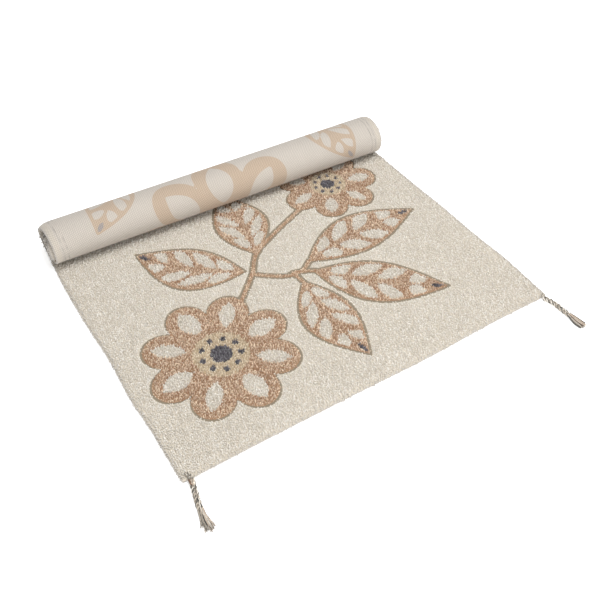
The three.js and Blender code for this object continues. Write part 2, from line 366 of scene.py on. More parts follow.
def leaf_distances(leaf, x, s):
    """The distances to a leaf, its cream slits and the dark stroke at its tip."""
    leaf_x, leaf_along, heading, length, width, bend = leaf
    t, v = turned(x - leaf_x, s - leaf_along, math.radians(heading))
    share = t / length
    v = v - bend * 4 * share * (1 - share)
    beyond = np.maximum(-share, share - 1) * length
    blade = (np.abs(v) - leaf_half(share) * width / 2) * 0.85
    blade = np.where(beyond > 0, np.hypot(beyond, v), blade)
    slits = np.full(x.shape, 1e3)
    for at in (0.2, 0.39, 0.58, 0.77):
        half = float(leaf_half(at)) * width / 2
        for side in (1, -1):
            p, q = turned((share - at) * length, v - side * half / 2, side * math.radians(34))
            slits = np.minimum(slits, lens_distance(p, q, 0.66 * half, 0.052 * length))
    stroke = lens_distance((share - 0.9) * length, v, 17, 6)
    return blade, np.maximum(slits, blade + 9), np.maximum(stroke, blade + 3)


def blossom_distances(blossom, x, s):
    """The distances to a blossom, its cream flecks, its sand middle and its dark seeds."""
    blossom_x, blossom_along, radius, petals, degrees = blossom
    dx, ds = x - blossom_x, s - blossom_along
    far, around, turn = np.hypot(dx, ds), np.arctan2(ds, dx), math.radians(degrees)
    lobe = np.abs(np.cos(petals * (around - turn) / 2)) ** 0.62
    outline = far - radius * (0.7 + 0.3 * lobe)
    flecks = np.full(x.shape, 1e3)
    for k in range(petals):
        p, q = turned(dx, ds, turn + 2 * math.pi * k / petals)
        half_width = (0.13 if k % 2 == 0 else 0.105) * radius
        flecks = np.minimum(flecks, lens_distance(p - 0.66 * radius, q, 0.23 * radius, half_width))
    seeds = far - 0.14 * radius
    for k in range(seeds_round):
        angle = 2 * math.pi * k / seeds_round + 0.3
        centre = 0.25 * radius * math.cos(angle), 0.25 * radius * math.sin(angle)
        seeds = np.minimum(seeds, np.hypot(dx - centre[0], ds - centre[1]) - 0.042 * radius)
    return outline, np.maximum(flecks, outline + 8), far - 0.36 * radius, seeds


def sprig_place(points, along):
    """Where points of the cloth lie in the plan of the sprig."""
    return points[:, 0], np.where(along < front_fade, points[:, 1] - front_y, along)


def sprig_distances(x, s):
    """How far a point is outside the whole sprig, its cream, its sand and its charcoal."""
    figure, patch, middle, dark = (np.full(x.shape, 1e3) for _ in range(4))
    for stops in stems:
        figure = np.minimum(figure, band_distance(spline_through(stops), stem_width, x, s))
    for leaf in leaves:
        blade, slits, stroke = leaf_distances(leaf, x, s)
        figure, patch = np.minimum(figure, blade), np.minimum(patch, slits)
        dark = np.minimum(dark, stroke)
    for blossom in blossoms:
        outline, flecks, disc, seeds = blossom_distances(blossom, x, s)
        patch, dark = np.where(outline < 6, 1e3, patch), np.where(outline < 6, 1e3, dark)
        figure, patch = np.minimum(figure, outline), np.minimum(patch, flecks)
        middle, dark = np.minimum(middle, disc), np.minimum(dark, seeds)
    return {"figure": figure, "patch": patch, "middle": middle, "dark": dark}


# Nodes


def arithmetic(operation, swapped=False):
    """A method that adds a Math node to do its arithmetic."""

    def method(self, other):
        values = (other, self) if swapped else (self, other)
        return self.nodes.maths(operation, *values)

    return method


class Wire:
    """A value that leaves a node. Arithmetic on it adds Math nodes."""

    def __init__(self, nodes, socket):
        self.nodes = nodes
        self.socket = socket

    __add__ = arithmetic("ADD")
    __radd__ = arithmetic("ADD", swapped=True)
    __sub__ = arithmetic("SUBTRACT")
    __rsub__ = arithmetic("SUBTRACT", swapped=True)
    __mul__ = arithmetic("MULTIPLY")
    __truediv__ = arithmetic("DIVIDE")
    __pow__ = arithmetic("POWER")


class Nodes:
    """A material's nodes, or those of a Geometry Nodes tree."""

    def __init__(self, tree):
        self.tree = tree

    def add(self, kind, settings=None, sockets=None, output=0):
        """Adds a node: first its settings, then the values or links of its sockets."""
        node = self.tree.nodes.new(kind)
        for name, value in (settings or {}).items():
            setattr(node, name, value)
        for name, value in (sockets or {}).items():
            if isinstance(name, int):
                socket = node.inputs[name]
            else:
                socket = next(s for s in node.inputs if s.name == name and s.enabled)
            for one in value if isinstance(value, list) and isinstance(value[0], Wire) else [value]:
                if isinstance(one, Wire):
                    self.tree.links.new(one.socket, socket)
                else:
                    socket.default_value = one
        return Wire(self, node.outputs[output])

    def maths(self, operation, *values, clamp=False):
        settings = {"operation": operation, "use_clamp": clamp}
        return self.add("ShaderNodeMath", settings, dict(enumerate(values)))

    def vector(self, **parts):
        return self.add("ShaderNodeCombineXYZ", None, parts)


class Growth(Nodes):
    """A Geometry Nodes tree."""

    def geometry(self, kind, sockets, settings=None):
        return self.add("GeometryNode" + kind, settings, sockets)

    def named(self, name, kind="FLOAT"):
        """An attribute that the points carry."""
        return self.geometry("InputNamedAttribute", {"Name": name}, {"data_type": kind})

    def circle(self, sides, radius):
        sockets = {"Resolution": sides, "Radius": radius}
        return self.geometry("CurvePrimitiveCircle", sockets)

    def arc(self, start, middle, end):
        sockets = {"Resolution": 3, "Start": start, "Middle": middle, "End": end}
        return self.geometry("CurveQuadraticBezier", sockets)

    def facing(self):
        """How what stands on a point is turned, by the point's heading and aim."""
        sockets = {"Axis": (0, 0, 1), "Angle": self.named("heading")}
        spin = self.add("FunctionNodeAxisAngleToRotation", None, sockets)
        sockets = {"Rotation": spin, "Vector": self.named("aim", "FLOAT_VECTOR")}
        return self.add("FunctionNodeAlignRotationToVector", {"axis": "Z"}, sockets)


class Finish(Nodes):
    """A material with one shader. Fixed values go on the shader's own sockets."""

    def __init__(self, name, **fixed):
        self.material = bpy.data.materials.new(name)
        self.material.use_nodes = True
        super().__init__(self.material.node_tree)
        self.shader = self.tree.nodes["Principled BSDF"]
        for label, value in fixed.items():
            self.shader.inputs[label.replace("_", " ")].default_value = value

    def attribute(self, name, output="Fac"):
        return self.add("ShaderNodeAttribute", {"attribute_name": name}, output=output)

    def place(self):
        return self.add("ShaderNodeTexCoord", output="Object")

    def noise(self, place, scale, detail=2.0):
        sockets = {"Vector": place, "Scale": scale, "Detail": detail}
        return self.add("ShaderNodeTexNoise", None, sockets)

    def mix(self, share, first, second):
        sockets = {0: share, 6: first, 7: second}
        return self.add("ShaderNodeMix", {"data_type": "RGBA"}, sockets, output=2)

    def inside(self, distance, blur=0.7):
        """1 inside an outline and 0 outside it, from the distance to it."""
        return self.maths("SUBTRACT", 0.5, distance / blur, clamp=True)

    def ramp(self, value, low, high):
        return self.maths("DIVIDE", value - low, high - low, clamp=True)

    def tinted(self, colour, brightness):
        """A colour made lighter or darker by a value around 1."""
        grey = self.vector(X=brightness, Y=brightness, Z=brightness)
        value = colour if isinstance(colour, Wire) else colour[:3]
        return self.add("ShaderNodeVectorMath", {"operation": "MULTIPLY"}, {0: value, 1: grey})

    def dressed(self, colour, brightness, height=None, distance=0.0):
        """The material, with a colour made lighter or darker and a bump of that height."""
        looks = {"Base Color": self.tinted(colour, brightness)}
        if height is not None:
            sockets = {"Height": height, "Distance": distance, "Strength": 1.0}
            looks["Normal"] = self.add("ShaderNodeBump", None, sockets)
        for label, wire in looks.items():
            self.tree.links.new(wire.socket, self.shader.inputs[label])
        return self.material


def scaled(colour, *shares):
    """A colour with its red, green and blue each taken down to a share."""
    return [value * share for value, share in zip(colour, shares)] + [1.0]


def sprig_colours(look, ground, tan_colour, sand_colour, dark_colour):
    """The sprig's colours over a ground colour, by the distances that the cloth carries."""
    names = ("figure", "patch", "middle", "dark")
    figure, patch, middle, dark = (look.inside(look.attribute(name)) for name in names)
    colour = look.mix(figure * (1 - patch), ground, tan_colour)
    colour = look.mix(middle, colour, sand_colour)
    return look.mix(dark, colour, dark_colour)


def woven_back():
    """The back of the cloth: close stitches in which the pile's colours show, with a ribbed, paler
    hem and a rim greyed as painted shade."""
    look = Finish("woven back", Roughness=0.92, Sheen_Weight=0.12, Sheen_Roughness=0.6)
    stitch_width, stitch_length = 5.8 * MM, 6.2 * MM
    rim_end, turned_in, hem_end, rib_pitch = 3.5 * MM, 17 * MM, 38 * MM, 10.5 * MM
    cut = look.add("ShaderNodeUVMap", {"uv_map": "cut"})
    across, along = (look.add("ShaderNodeSeparateXYZ", None, {0: cut}, output=k) for k in (0, 1))
    wander = (look.noise(cut, 30) - 0.5) * 0.9
    over, up = across / stitch_width + wander, along / stitch_length + wander * 0.6
    waves = (look.maths("SINE", way * math.pi) for way in (over + up, over - up))
    first, second = (look.maths("ABSOLUTE", wave) for wave in waves)
    weave = (first * second) ** 0.6
    nearest_side = look.maths("MINIMUM", across, rug_width * MM - across)
    nearest_end = look.maths("MINIMUM", along, rug_length * MM - along)
    edge = look.maths("MINIMUM", nearest_side, nearest_end)
    on_hem = look.inside(edge - hem_end, 4 * MM) - look.inside(edge - turned_in, 4 * MM)
    rib = (look.maths("SINE", edge / rib_pitch * (2 * math.pi) + wander * 2) * 0.5 + 0.5) ** 4
    rib = rib * look.ramp(look.noise(cut, 45), 0.35, 0.6)
    fibre = look.noise(cut, 1400, detail=3)
    ground = linear(197, 189, 179)
    colour = sprig_colours(
        look,
        ground,
        scaled(ground, 0.9, 0.77, 0.65),
        scaled(ground, 0.96, 0.9, 0.82),
        scaled(ground, 0.6, 0.6, 0.64),
    )
    colour = look.mix(look.inside(edge - turned_in, 6 * MM) * 0.7, colour, linear(203, 194, 180))
    # The rim is mixed towards grey: painted shade on the rounded edge.
    colour = look.mix(look.inside(edge - rim_end, 4 * MM) * 0.6, colour, linear(176, 171, 167))
    cloudy = look.noise(cut, 9, detail=3)
    rib = rib * on_hem
    brightness = 0.63 + weave * 0.51 + (cloudy - 0.5) * 0.1 + (fibre - 0.5) * 0.16 - rib * 0.26
    return look.dressed(colour, brightness, weave + fibre * 0.25 - rib, 0.0008)


def pile_floor():
    """What shows between the tufts and in the carved line: the same yarns, deep in shade."""
    look = Finish("pile floor", Roughness=1.0)
    place = look.place()
    colour = sprig_colours(
        look,
        scaled(cream, 0.74, 0.72, 0.68),
        scaled(tan, 0.54, 0.48, 0.42),
        scaled(sand, 0.68, 0.64, 0.58),
        scaled(charcoal, 0.6, 0.6, 0.6),
    )
    line = look.maths("ABSOLUTE", look.attribute("figure"))
    carved = look.inside(line - carved_width / 2, 1.6)
    colour = look.mix(carved, colour, linear(138, 127, 109))
    grain = look.noise(place, 520, detail=3)
    return look.dressed(colour, 0.7 + grain * 0.6, grain, 0.0012)


def tuft_yarn(name, dark, light, contrast):
    """Cut cotton yarn: each tuft has its own shade, its root is darker than its tip as painted
    shade among the tufts, and painted shade makes it greyer and darker at the edges and in the slit."""
    look = Finish(name + " yarn", Roughness=0.95, Sheen_Weight=0.2, Sheen_Roughness=0.55)
    place = look.place()
    patches = look.noise(place, 11)
    fibre = look.noise(place, 1500)
    shade = (look.attribute("shade") - 0.5) * contrast + 0.5 + (patches - 0.5) * 0.25
    shade = look.maths("MULTIPLY", shade, 1.0, clamp=True)
    colour = look.mix(shade, linear(*dark), linear(*light))
    # Painted shade: tufts at the edges and in the slit are mixed towards grey and darkened.
    shelter = look.attribute("shelter")
    colour = look.mix(shelter * 0.5, colour, linear(196, 190, 183))
    # Painted shade: each tuft's root is darker than its tip, and tufts given shelter are darker still.
    tone = 0.84 + look.attribute("rise") * 0.2 + (fibre - 0.5) * 0.14 - shelter * 0.08
    return look.dressed(colour, tone, fibre, 0.0005)


def tassel_yarn():
    """Twisted yarn in its own dye, with short dark flecks where the twist turns it."""
    look = Finish("tassel yarn", Roughness=0.9, Sheen_Weight=0.2, Sheen_Roughness=0.5)
    place = look.place()
    twist = look.attribute("twist")
    fibre = look.noise(place, 1800)
    fleck = look.ramp(look.noise(place, 420, detail=1), 0.56, 0.62) * 0.5
    turns = look.maths("SINE", twist * (2 * math.pi))
    colour = look.mix(fleck, look.attribute("dye", "Color"), dyes["dark_grey"])
    return look.dressed(colour, 0.9 + turns * 0.1 + (fibre - 0.5) * 0.3, fibre * 0.5 + turns, 0.0003)


def sewing_thread():
    look = Finish("sewing thread", Roughness=0.8)
    fibre = look.noise(look.place(), 1600)
    return look.dressed(linear(214, 205, 192), 0.85 + fibre * 0.3, fibre, 0.0002)


def pale_floor():
    look = Finish("pale floor", Roughness=0.9, Emission_Strength=0.4)
    cloudy = look.noise(look.place(), 3)
    return look.dressed(linear(250, 250, 250), 0.99 + cloudy * 0.02)


# Meshes


def linked(name, mesh):
    piece = bpy.data.objects.new(name, mesh)
    bpy.context.scene.collection.objects.link(piece)
    return piece


def mesh_of(name, points, faces=(), edges=()):
    """A mesh in metres from points in millimetres."""
    mesh = bpy.data.meshes.new(name)
    parts = np.asarray(points) * MM, np.asarray(edges), np.asarray(faces)
    mesh.from_pydata(*(part.tolist() for part in parts))
    mesh.update()
    return mesh


def give(mesh, name, values):
    """Puts an attribute on a mesh's points: a number, a vector or a colour for each."""
    values = np.asarray(values, np.float32)
    kinds = {1: ("FLOAT", "value"), 3: ("FLOAT_VECTOR", "vector"), 4: ("FLOAT_COLOR", "color")}
    kind, field = kinds[1 if values.ndim == 1 else values.shape[1]]
    mesh.attributes.new(name, kind, "POINT").data.foreach_set(field, values.ravel())


def new_tree(name, **inputs):
    """A Geometry Nodes tree with named inputs, and the wires of those inputs."""
    tree = bpy.data.node_groups.new(name, "GeometryNodeTree")
    kinds = {float: "NodeSocketFloat", int: "NodeSocketInt", str: "NodeSocketMaterial"}
    for way in ("INPUT", "OUTPUT"):
        tree.interface.new_socket("Geometry", in_out=way, socket_type="NodeSocketGeometry")
    for label, value in inputs.items():
        label, kind = label.replace("_", " "), kinds[type(value)]
        socket = tree.interface.new_socket(label, in_out="INPUT", socket_type=kind)
        if not isinstance(value, str):
            socket.default_value = value
    start = tree.nodes.new("NodeGroupInput")
    nodes = Growth(tree)
    wires = {s.name: Wire(nodes, s) for s in start.outputs if s.name}
    return nodes, wires


def end_tree(nodes, given, kind, sockets):
    """Ends a tree with what a last node makes: real meshes, smooth, with their material."""
    made = nodes.geometry(kind, sockets)
    for step in ("RealizeInstances", "SetShadeSmooth"):
        made = nodes.geometry(step, {"Geometry": made})
    made = nodes.geometry("SetMaterial", {"Geometry": made, "Material": given["Material"]})
    nodes.tree.links.new(made.socket, nodes.tree.nodes.new("NodeGroupOutput").inputs[0])
    return nodes.tree


def tuft_tree():
    """A bent tuft on every point, along the point's aim and turned by its heading."""
    sizes = {"Tuft_height": tuft_height * MM, "Yarn_radius": 1.32 * MM, "Bend": 1.6 * MM}
    nodes, given = new_tree("tufts", **sizes, Seed=3, Material="yarn")
    along = nodes.add("GeometryNodeSplineParameter")
    swell = 0.8 + along * 1.1 - (along**4) * 1.3
    profile = nodes.circle(3, given["Yarn radius"])
    shapes = []
    for bends, height in ((0.5, 1.0), (1.2, 0.97), (1.9, 0.92), (2.6, 0.84)):
        top = given["Tuft height"] * height
        tip = nodes.vector(X=given["Bend"] * bends, Z=top)
        curve = nodes.arc((0, 0, 0), nodes.vector(Z=top * 0.85), tip)
        curve = nodes.geometry("ResampleCurve", {"Curve": curve, "Count": 3})
        sockets = {"Geometry": curve, "Name": "rise", "Value": along}
        curve = nodes.geometry("StoreNamedAttribute", sockets, {"domain": "POINT"})
        sockets = {"Curve": curve, "Profile Curve": profile, "Scale": swell, "Fill Caps": True}
        shape = nodes.geometry("CurveToMesh", sockets)
        shapes.append(nodes.geometry("GeometryToInstance", {"Geometry": shape}))
    choice = nodes.geometry("JoinGeometry", {"Geometry": shapes})
    girth = nodes.named("girth")
    sockets = {"Min": 0, "Max": len(shapes) - 1, "Seed": given["Seed"]}
    pick = nodes.add("FunctionNodeRandomValue", {"data_type": "INT"}, sockets, output=2)
    sockets = {
        "Points": given["Geometry"],
        "Instance": choice,
        "Pick Instance": True,
        "Instance Index": pick,
        "Rotation": nodes.facing(),
        "Scale": nodes.vector(X=girth, Y=girth, Z=nodes.named("reach")),
    }
    return end_tree(nodes, given, "InstanceOnPoints", sockets)


def stitch_tree():
    """A short arched stitch on every point."""
    sizes = {"Half_length": 1.7 * MM, "Arch": 0.9 * MM, "Thread_radius": 0.42 * MM}
    nodes, given = new_tree("stitches", **sizes, Material="thread")
    half, arch = given["Half length"], given["Arch"]
    start, end = nodes.vector(X=half * -1.0, Z=arch * -1.0), nodes.vector(X=half, Z=arch * -1.0)
    curve = nodes.arc(start, nodes.vector(Z=arch), end)
    profile = nodes.circle(4, given["Thread radius"])
    sockets = {"Curve": curve, "Profile Curve": profile, "Fill Caps": True}
    stitch = nodes.geometry("CurveToMesh", sockets)
    sockets = {"Points": given["Geometry"], "Instance": stitch, "Rotation": nodes.facing()}
    return end_tree(nodes, given, "InstanceOnPoints", sockets)


def yarn_tree():
    """A round yarn along every run of edges, as thick as its points say."""
    nodes, given = new_tree("yarns", Sides=6, Thickness=1.0, Material="yarn")
    curve = nodes.geometry("MeshToCurve", {"Mesh": given["Geometry"]})
    sockets = {
        "Curve": curve,
        "Profile Curve": nodes.circle(given["Sides"], 1.0),
        "Scale": nodes.named("girth") * given["Thickness"],
        "Fill Caps": True,
    }
    return end_tree(nodes, given, "CurveToMesh", sockets)


def grown(name, tree, mesh, material):
    """Runs a tree on a mesh of points and keeps what it makes as a plain piece."""
    source = linked(name + "_points", mesh)
    modifier = source.modifiers.new("grow", "NODES")
    modifier.node_group = tree
    socket = next(item for item in tree.interface.items_tree if item.name == "Material")
    modifier[socket.identifier] = material
    graph = bpy.context.evaluated_depsgraph_get()
    made = bpy.data.meshes.new_from_object(source.evaluated_get(graph), depsgraph=graph)
    source.modifiers.clear()
    bpy.data.objects.remove(source)
    made.name = name
    made.materials.clear()
    made.materials.append(material)
    made.polygons.foreach_set("material_index", np.zeros(len(made.polygons), np.int32))
    return linked(name, made)


# The cloth


def back_depth(edge):
    """The back's depth: rounded at the rim, flat on the hem but for the furrow of its stitches,
    and hollow inside it."""
    rounding = 1.3 * np.clip(1 - edge / edge_round, 0, 1) ** 2
    hollow = hem_rise * smooth_step(edge, hem_width - 0.6, hem_width + 0.9)
    furrow = stitch_furrow * np.clip(1 - np.abs(edge - hem_stitch_line) / 1.4, 0, 1)
    return rounding + hollow + furrow


def ground_at(across, along):
    """The depth of the ground that the tufts stand in."""
    edge = edge_distance(across, along)
    rounding = 1.6 * np.clip(1 - edge / (1.6 * edge_round), 0, 1) ** 2
    return ground_depth - rounding + 0.2 * undulation(across, along)


# The cloth has a row of points at each of these distances from an edge, fine over the hem, and then
# these numbers of rows and columns. The roll's outer turn takes that length of the cloth.
hem_steps = np.array([0, 0.7, 2.2, 5, 9, 13, 14.5, 16, 17.4, 18.2, 19, 22])
columns_between = 136
rows_lying = 102
rows_outer_turn = 71
rows_inner_turns = 40
outer_turn = 385.0


def cloth_grid():
    """Where the cloth's points lie on it: rows along the rug, each with a point in every column."""
    inset = hem_steps[-1]
    middle = np.linspace(inset, rug_width - inset, columns_between)[1:-1]
    across = np.concatenate([hem_steps, middle, rug_width - hem_steps[::-1]]) / rug_width
    columns = []
    for share in across:
        flat = flat_at(share)
        lying = inset + (flat - inset) * np.linspace(0, 1, rows_lying)[1:]
        outer = flat + outer_turn * np.linspace(0, 1, rows_outer_turn)[1:]
        inner = np.linspace(flat + outer_turn, rug_length - inset, rows_inner_turns)[1:-1]
        columns.append(np.concatenate([hem_steps, lying, outer, inner, rug_length - hem_steps[::-1]]))
    along = np.array(columns).T
    return np.broadcast_to(across, along.shape), along


def quads(a, b, c, d):
    """Faces with one corner from each of four arrays of points."""
    return np.stack([a.ravel(), b.ravel(), c.ravel(), d.ravel()], 1)


def cloth_piece(materials):
    """The rug's cloth as one closed mesh: the woven back, the ground of the pile and the rim."""
    across, along = cloth_grid()
    edge = edge_distance(across, along)
    back = rug_point(across, along, back_depth(edge))
    ground = rug_point(across, along, ground_at(across, along))
    under, over = np.arange(2 * along.size).reshape(2, *along.shape)
    faces = [
        quads(under[:-1, :-1], under[1:, :-1], under[1:, 1:], under[:-1, 1:]),
        quads(under[0, :-1], under[0, 1:], over[0, 1:], over[0, :-1]),
        quads(under[-1, 1:], under[-1, :-1], over[-1, :-1], over[-1, 1:]),
        quads(under[1:, 0], under[:-1, 0], over[:-1, 0], over[1:, 0]),
        quads(under[:-1, -1], under[1:, -1], over[1:, -1], over[:-1, -1]),
        quads(over[:-1, :-1], over[:-1, 1:], over[1:, 1:], over[1:, :-1]),
    ]
    woven = sum(len(f) for f in faces[:-1])
    faces = np.concatenate(faces)
    points = np.concatenate([back.reshape(-1, 3), ground.reshape(-1, 3)])
    mesh = mesh_of("rug_cloth", points, faces)
    across, along = np.tile(across.ravel(), 2), np.tile(along.ravel(), 2)
    for name, distance in sprig_distances(*sprig_place(points, along)).items():
        give(mesh, name, distance)
    cut = np.stack([across * rug_width, along], 1) * MM
    corner_points = np.zeros(len(mesh.loops), np.int32)
    mesh.loops.foreach_get("vertex_index", corner_points)
    cut = cut[corner_points].astype(np.float32)
    mesh.uv_layers.new(name="cut").data.foreach_set("uv", cut.ravel())
    for material in materials:
        mesh.materials.append(material)
    mesh.polygons.foreach_set("material_index", (np.arange(len(faces)) >= woven).astype(np.int32))
    mesh.polygons.foreach_set("use_smooth", np.ones(len(faces), bool))
    mesh.update()
    return linked("rug_cloth", mesh)


# The pile


def unit(vectors):
    return vectors / np.linalg.norm(vectors, axis=-1, keepdims=True)


def tuft_places():
    """Where tufts stand: on all that lies flat, at the two ends of the roll, and on the rim."""
    rows = np.arange(tuft_margin, rug_width - 3, row_pitch)
    places = np.arange(tuft_margin, rug_length - 3, tuft_pitch)
    across, along = np.meshgrid(rows, places)
    along = along + (np.arange(len(rows)) % 2) * tuft_pitch / 2
    across = across.ravel() + rng.uniform(-1, 1, across.size) * tuft_jitter
    along = along.ravel() + rng.uniform(-1, 1, along.size) * tuft_jitter
    across = np.clip(across, 2.6, rug_width - 2.6) / rug_width
    along = np.clip(along, 2.6, rug_length - 3)
    seen = (along < flat_at(across) + 2) | (side_distance(across) < end_strip)
    down = np.arange(rim_start, rug_length - rim_start, rim_pitch)
    over = np.arange(rim_start, rug_width - rim_start, rim_pitch) / rug_width
    across = np.concatenate([across[seen], np.zeros(down.shape), np.ones(down.shape), over])
    along = np.concatenate([along[seen], down, down, np.zeros(over.shape)])
    return across, along, np.arange(len(across)) >= seen.sum()


def crest_at(before_roll):
    """How much the roll pushes the pile up just in front of it, from 0 to 1."""
    return smooth_step(before_roll, -64, -44) * (1 - smooth_step(before_roll, -34, -22))


def slit_at(across, turns):
    """Where the left end of the roll is open, between its outer turn and the next."""
    return (turns > 0.4) & (turns < 1) & (across < 0.5)


def tuft_aims(root, top, across, along, turns, on_rim):
    """Which way the tufts point: outwards at the edges, to the front before the roll."""
    outward = np.zeros_like(root)
    side = np.where(across < 0.5, -1, 1)
    outward[:, 0] = side * np.clip(1 - side_distance(across) / edge_lean_width, 0, 1)
    crest = crest_at(along - flat_at(across))
    outward[:, 1] = -np.clip(1 - along / edge_lean_width, 0, 1) - 0.6 * crest
    upright = np.where(on_rim, 0.8, 1.0)[:, None]
    lying = along < flat_at(across)
    lean = np.where(on_rim | lying, 0.8, np.where(turns < 1, 1.2, 0.5))[:, None]
    return unit(upright * unit(top - root) + lean * outward + rng.normal(0, 0.2, root.shape))


def tuft_reaches(figure, across, along, turns, on_rim):
    """How tall the tufts are: trimmed at the carved line, proud on the figure, pushed up before the
    roll but clear of it, and short at the edges and in the slit."""
    before_roll = along - flat_at(across)
    lying = before_roll < 0
    carved_edge = carved_width / 2
    trimmed = 0.45 + 0.55 * smooth_step(np.abs(figure), carved_edge - 1, carved_edge + carved_slope)
    trimmed = np.where(lying, trimmed, 1)
    proud = 1 + figure_rise / tuft_height * smooth_step(-figure, 2, 16) * lying
    reach = 1 + 0.05 * undulation(across * 2, along * 2) + rng.normal(0, 0.07, len(across))
    reach = np.minimum(reach * trimmed * proud, 1.45) * (1 + 0.45 * crest_at(before_roll))
    reach = np.minimum(reach, 1.9 - 0.98 * smooth_step(before_roll, -36, -20))
    reach = np.where(on_rim, rng.uniform(0.45, 0.8, len(across)), reach)
    at_edge = edge_distance(across, along) < 7
    reach = np.where(at_edge, np.where(lying, 0.9, 0.6) * reach, reach)
    return np.where(slit_at(across, turns), 0.35 * reach, reach)


def tuft_shades(count):
    """How light each tuft's yarn is, from 0 to 1, with a few of the darkest and the lightest."""
    shade = np.clip(rng.normal(0.5, 0.2, count), 0, 1)
    speck = rng.uniform(0, 1, count)
    return np.where(speck < 0.05, 0.0, np.where(speck > 0.93, 1.0, shade))


def tuft_painted_shade(across, along, turns, on_rim):
    """Painted shade on each tuft: 1 at the edges, and far more between the turns on the left."""
    shelter = np.where(on_rim, 1.0, 1 - smooth_step(edge_distance(across, along), 2, 10))
    return np.where((across < 0.5) & (turns > 0.4) & (turns < 1.6), slit_painted_shade, shelter)


def tuft_spots():
    """Each tuft's place, aim and height, its yarn's shade, and its distances in the sprig."""
    across, along, on_rim = tuft_places()
    count = len(across)
    foot = np.where(on_rim, rng.uniform(2.8, 3.8, count), ground_at(across, along) - tuft_root)
    root = rug_point(across, along, foot)
    top = rug_point(across, along, foot + 2)
    distances = sprig_distances(*sprig_place(root, along))
    figure = distances["figure"] + rng.normal(0, 0.5, count)
    lying = along < flat_at(across)
    turns = np.interp(along - flat_at(across), walked, walk_turns)
    spot = across, along, turns, on_rim
    in_line = (np.abs(figure) <= carved_width / 2) & lying & ~on_rim
    kept = ~in_line & ~(on_rim & slit_at(across, turns))
    spots = {
        "place": root,
        "aim": tuft_aims(root, top, *spot),
        "heading": rng.uniform(0, 2 * np.pi, count),
        "reach": tuft_reaches(figure, *spot),
        "shade": tuft_shades(count),
        "shelter": tuft_painted_shade(*spot),
        "girth": rng.uniform(0.88, 1.14, count),
        "across": across,
        "figure": figure,
        "patch": np.where(on_rim, 1e3, distances["patch"]) + rng.normal(0, 0.4, count),
        "middle": distances["middle"],
        "dark": distances["dark"],
    }
    return {name: values[kept] for name, values in spots.items()}


def pile_pieces():
    """The tufts, gathered by yarn and by which part of the width they stand on."""
    spots = tuft_spots()
    is_dark = spots["dark"] < 0
    is_sand = (spots["middle"] < 0) & ~is_dark
    is_tan = (spots["figure"] < 0) & (spots["patch"] > 0) & ~is_dark & ~is_sand
    is_cream = ~(is_dark | is_sand | is_tan)
    yarns = {name: tuft_yarn(name, *tones) for name, tones in yarn_tones.items()}
    thirds = np.minimum((spots["across"] * 3).astype(int), 2)
    halves = (spots["across"] > 0.47).astype(int)
    tree = tuft_tree()
    pieces = []
    parts = ("left", "middle", "right")
    groups = [("cream", "_" + part, is_cream & (thirds == k)) for k, part in enumerate(parts)]
    groups += [("tan", "_" + part, is_tan & (halves == k)) for k, part in enumerate(parts[::2])]
    groups += [("sand", "", is_sand), ("charcoal", "", is_dark)]
    for yarn, part, chosen in groups:
        name = f"pile_{yarn}{part}"
        mesh = mesh_of(name, spots["place"][chosen])
        for field in ("aim", "heading", "girth", "reach", "shade", "shelter"):
            give(mesh, field, spots[field][chosen])
        pieces.append((yarn, grown(name, tree, mesh, yarns[yarn])))
    return pieces


def hem_stitches():
    """The line of stitches that holds the folded hem, all the way round the back."""
    line = hem_stitch_line
    down = np.arange(line, rug_length - line, stitch_spacing)
    over = np.arange(line + stitch_spacing, rug_width - line, stitch_spacing) / rug_width
    sides = [np.full(down.shape, line / rug_width), np.full(down.shape, 1 - line / rug_width)]
    ends = [np.full(over.shape, line), np.full(over.shape, rug_length - line)]
    across = np.concatenate([*sides, over, over])
    along = np.concatenate([down, down, *ends])
    place = rug_point(across, along, stitch_depth)
    outer = rug_point(across, along, -1.0)
    on_side = np.arange(len(across)) < 2 * len(down)
    next_across = np.where(on_side, across, across + 0.001)
    ahead = rug_point(next_across, np.where(on_side, along + 1, along), stitch_depth)
    mesh = mesh_of("hem_stitches", place)
    give(mesh, "aim", unit(outer - place))
    give(mesh, "heading", np.where(np.abs(ahead[:, 0] - place[:, 0]) > 0.5, 0.0, np.pi / 2))
    return grown("hem_stitches", stitch_tree(), mesh, sewing_thread())


# The tassels


def on_line(line, distance):
    """The points and directions at distances along a line, and straight on past its ends."""
    lengths = np.concatenate([[0], np.cumsum(np.linalg.norm(np.diff(line, axis=0), axis=1))])
    inner = np.clip(distance, 0, lengths[-1])
    stops = inner, np.minimum(inner + 1, lengths[-1]), np.maximum(inner - 1, 0)
    spots = [np.stack([np.interp(at, lengths, line[:, k]) for k in (0, 1)], -1) for at in stops]
    place, ahead, behind = spots
    way = unit(ahead - behind)
    return place + way * (distance - inner)[..., None], way


def beside(line, distance, over, z):
    """Points at distances along a line on the floor, moved sideways and up."""
    place, way = on_line(line, np.asarray(distance, float))
    side = np.stack([-way[..., 1], way[..., 0]], -1)
    place = place + side * np.asarray(over, float)[..., None]
    return np.concatenate([place, np.broadcast_to(z, place.shape[:-1])[..., None]], -1)


def twisted(line, distance, over, z, offset, period, colours, girth):
    """The plies of one yarn, each winding round its path, as rows of points, girth, twist and dye."""
    made = []
    plies = colours.split()
    for k, colour in enumerate(plies):
        phase = 2 * np.pi * (distance / period + k / len(plies))
        points = beside(line, distance, over + offset * np.cos(phase), z + offset * np.sin(phase))
        twist = distance / (0.3 * period) + k / 4
        made.append((points, np.full(distance.shape, girth), twist, dyes[colour]))
    return made


